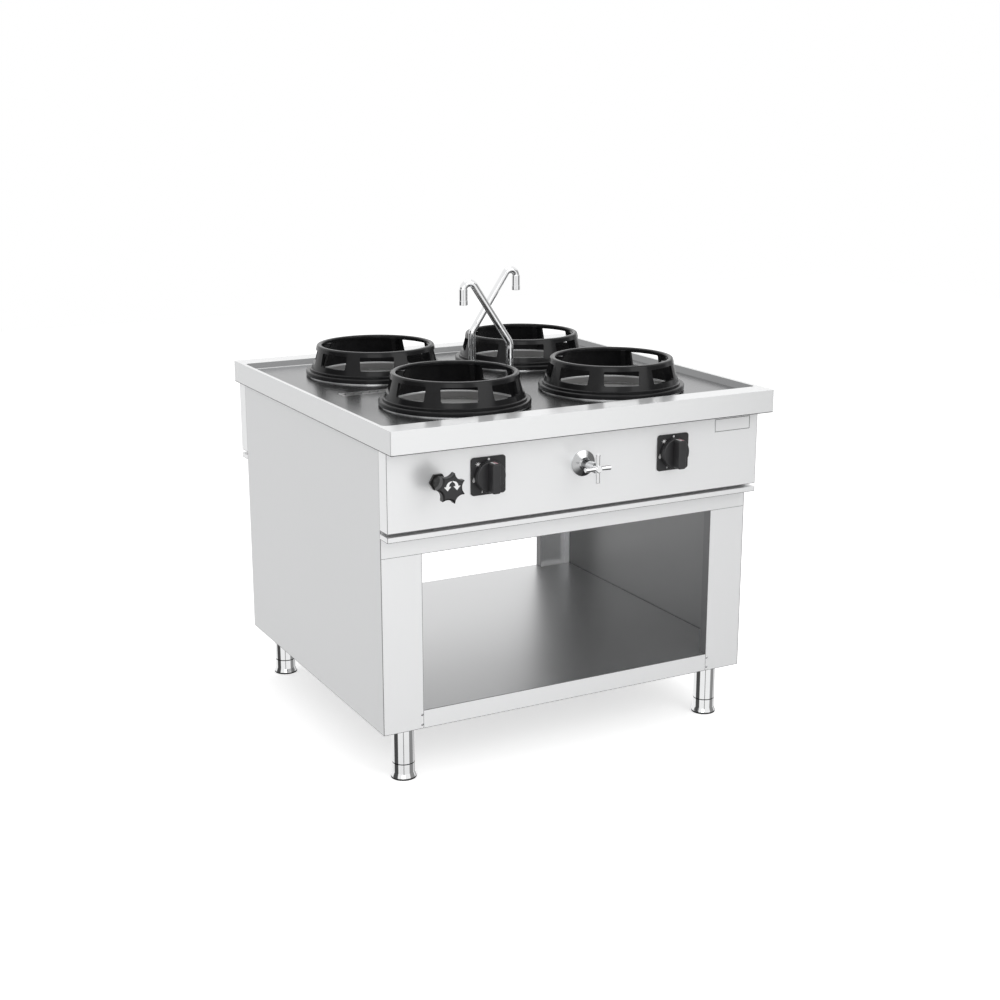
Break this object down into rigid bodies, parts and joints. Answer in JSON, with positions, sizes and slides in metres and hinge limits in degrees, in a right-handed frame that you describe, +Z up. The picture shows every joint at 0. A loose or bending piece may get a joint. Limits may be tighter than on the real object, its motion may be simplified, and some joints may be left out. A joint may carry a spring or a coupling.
{
  "type": "wok range",
  "caption": "Free-standing stainless wok range with cast rings on a flat well, swivelling water spouts, gas and water controls on both long faces, and an open base on levelling legs.",
  "frame": {"origin": "on the floor under the middle of the cabinet", "axes": "+Z up, the front (the side with the drain at its left) faces -Y, +X to the right of someone at the front"},
  "size_m": [1, 1.092, 1.1046],
  "materials": {
    "stainless": "fine brushed stainless steel",
    "enamelled_iron": "semi-gloss black enamel",
    "bowl_steel": "polished pressed steel",
    "burner_iron": "bare dark cast iron",
    "black_plastic": "matte black moulding",
    "valve_brass": "plain turned brass",
    "dark_valve": "blackened bonnet",
    "bright_chrome": "bright chrome",
    "pipe_steel": "galvanised pipe"
  },
  "bodies": {
    "cabinet": {"back_bottom_rail": "stainless", "back_control_panel": "stainless", "back_ledge": "stainless", "back_top_rail": "stainless", "bottom_shelf": "stainless", "burner_back_left": "burner_iron", "burner_back_right": "burner_iron", "burner_bowl_back_left": "bowl_steel", "burner_bowl_back_right": "bowl_steel", "burner_bowl_front_left": "bowl_steel", "burner_bowl_front_right": "bowl_steel", "burner_front_left": "burner_iron", "burner_front_right": "burner_iron", "compartment_floor": "stainless", "corner_post_back_left": "stainless", "corner_post_back_right": "stainless", "corner_post_front_left": "stainless", "corner_post_front_right": "stainless", "drain_trough": "stainless", "front_bottom_rail": "stainless", "front_control_panel": "stainless", "front_ledge": "stainless", "front_top_rail": "stainless", "gas_bezels": "black_plastic", "gas_manifold": "pipe_steel", "gas_valves": "valve_brass", "leg_tubes": "bright_chrome", "rail_screws": "stainless", "side_panel_left": "stainless", "side_panel_right": "stainless", "spout_base_back": "bright_chrome", "spout_base_front": "bright_chrome", "tap_body_back": "bright_chrome", "tap_body_front": "bright_chrome", "water_pipes": "pipe_steel", "water_valves": "dark_valve", "worktop": "stainless"},
    "spindle_front_left": {"valve_spindle_front_left": "valve_brass"},
    "knob_front_left": {"gas_knob_front_left": "black_plastic"},
    "foot_front_left": {"levelling_foot_front_left": "bright_chrome"},
    "ring_front_left": {"wok_ring_front_left": "enamelled_iron"},
    "spindle_front_right": {"valve_spindle_front_right": "valve_brass"},
    "knob_front_right": {"gas_knob_front_right": "black_plastic"},
    "foot_front_right": {"levelling_foot_front_right": "bright_chrome"},
    "ring_front_right": {"wok_ring_front_right": "enamelled_iron"},
    "spindle_back_left": {"valve_spindle_back_left": "valve_brass"},
    "knob_back_left": {"gas_knob_back_left": "black_plastic"},
    "foot_back_left": {"levelling_foot_back_left": "bright_chrome"},
    "ring_back_left": {"wok_ring_back_left": "enamelled_iron"},
    "spindle_back_right": {"valve_spindle_back_right": "valve_brass"},
    "knob_back_right": {"gas_knob_back_right": "black_plastic"},
    "foot_back_right": {"levelling_foot_back_right": "bright_chrome"},
    "ring_back_right": {"wok_ring_back_right": "enamelled_iron"},
    "tap_handle_front": {"tap_handle_front": "bright_chrome"},
    "star_handwheel_front": {"star_handwheel_front": "black_plastic"},
    "spout_front": {"water_spout_front": "bright_chrome"},
    "tap_handle_back": {"tap_handle_back": "bright_chrome"},
    "star_handwheel_back": {"star_handwheel_back": "black_plastic"},
    "spout_back": {"water_spout_back": "bright_chrome"},
    "strainer": {"drain_strainer": "stainless"}
  },
  "joints": [
    {"name": "knob_push_front_left", "type": "slide", "parent": "cabinet", "child": "spindle_front_left", "axis": [0, 1, 0], "range_m": [0, 0.003], "stiffness_N_per_m": 600, "springref_m": -0.003},
    {"name": "knob_turn_front_left", "type": "hinge", "parent": "spindle_front_left", "child": "knob_front_left", "pos_m": [-0.245, -0.471, 0.717], "axis": [0, -1, 0], "range_deg": [0, 150]},
    {"name": "foot_height_front_left", "type": "slide", "parent": "cabinet", "child": "foot_front_left", "axis": [0, 0, -1], "range_m": [0, 0.04]},
    {"name": "ring_lift_front_left", "type": "slide", "parent": "cabinet", "child": "ring_front_left", "axis": [0, 0, 1], "range_m": [0, 0.12]},
    {"name": "knob_push_front_right", "type": "slide", "parent": "cabinet", "child": "spindle_front_right", "axis": [0, 1, 0], "range_m": [0, 0.003], "stiffness_N_per_m": 600, "springref_m": -0.003},
    {"name": "knob_turn_front_right", "type": "hinge", "parent": "spindle_front_right", "child": "knob_front_right", "pos_m": [0.245, -0.471, 0.717], "axis": [0, -1, 0], "range_deg": [0, 150]},
    {"name": "foot_height_front_right", "type": "slide", "parent": "cabinet", "child": "foot_front_right", "axis": [0, 0, -1], "range_m": [0, 0.04]},
    {"name": "ring_lift_front_right", "type": "slide", "parent": "cabinet", "child": "ring_front_right", "axis": [0, 0, 1], "range_m": [0, 0.12]},
    {"name": "knob_push_back_left", "type": "slide", "parent": "cabinet", "child": "spindle_back_left", "axis": [0, -1, 0], "range_m": [0, 0.003], "stiffness_N_per_m": 600, "springref_m": -0.003},
    {"name": "knob_turn_back_left", "type": "hinge", "parent": "spindle_back_left", "child": "knob_back_left", "pos_m": [-0.245, 0.471, 0.717], "axis": [0, 1, 0], "range_deg": [0, 150]},
    {"name": "foot_height_back_left", "type": "slide", "parent": "cabinet", "child": "foot_back_left", "axis": [0, 0, -1], "range_m": [0, 0.04]},
    {"name": "ring_lift_back_left", "type": "slide", "parent": "cabinet", "child": "ring_back_left", "axis": [0, 0, 1], "range_m": [0, 0.12]},
    {"name": "knob_push_back_right", "type": "slide", "parent": "cabinet", "child": "spindle_back_right", "axis": [0, -1, 0], "range_m": [0, 0.003], "stiffness_N_per_m": 600, "springref_m": -0.003},
    {"name": "knob_turn_back_right", "type": "hinge", "parent": "spindle_back_right", "child": "knob_back_right", "pos_m": [0.245, 0.471, 0.717], "axis": [0, 1, 0], "range_deg": [0, 150]},
    {"name": "foot_height_back_right", "type": "slide", "parent": "cabinet", "child": "foot_back_right", "axis": [0, 0, -1], "range_m": [0, 0.04]},
    {"name": "ring_lift_back_right", "type": "slide", "parent": "cabinet", "child": "ring_back_right", "axis": [0, 0, 1], "range_m": [0, 0.12]},
    {"name": "tap_turn_front", "type": "hinge", "parent": "cabinet", "child": "tap_handle_front", "pos_m": [0, -0.471, 0.717], "axis": [0, -1, 0], "range_deg": [0, 180]},
    {"name": "star_turn_front", "type": "hinge", "parent": "cabinet", "child": "star_handwheel_front", "pos_m": [-0.37, -0.471, 0.717], "axis": [0, -1, 0], "range_deg": [0, 720]},
    {"name": "spout_swing_front", "type": "hinge", "parent": "cabinet", "child": "spout_front", "pos_m": [0, -0.119, 0.84], "axis": [0, 0, 1], "range_deg": [-15, 195]},
    {"name": "tap_turn_back", "type": "hinge", "parent": "cabinet", "child": "tap_handle_back", "pos_m": [0, 0.471, 0.717], "axis": [0, 1, 0], "range_deg": [0, 180]},
    {"name": "star_turn_back", "type": "hinge", "parent": "cabinet", "child": "star_handwheel_back", "pos_m": [0.37, 0.471, 0.717], "axis": [0, 1, 0], "range_deg": [0, 720]},
    {"name": "spout_swing_back", "type": "hinge", "parent": "cabinet", "child": "spout_back", "pos_m": [0, 0.081, 0.84], "axis": [0, 0, 1], "range_deg": [-15, 195]},
    {"name": "strainer_lift", "type": "slide", "parent": "cabinet", "child": "strainer", "axis": [0, 0, 1], "range_m": [0, 0.05]}
  ]
}
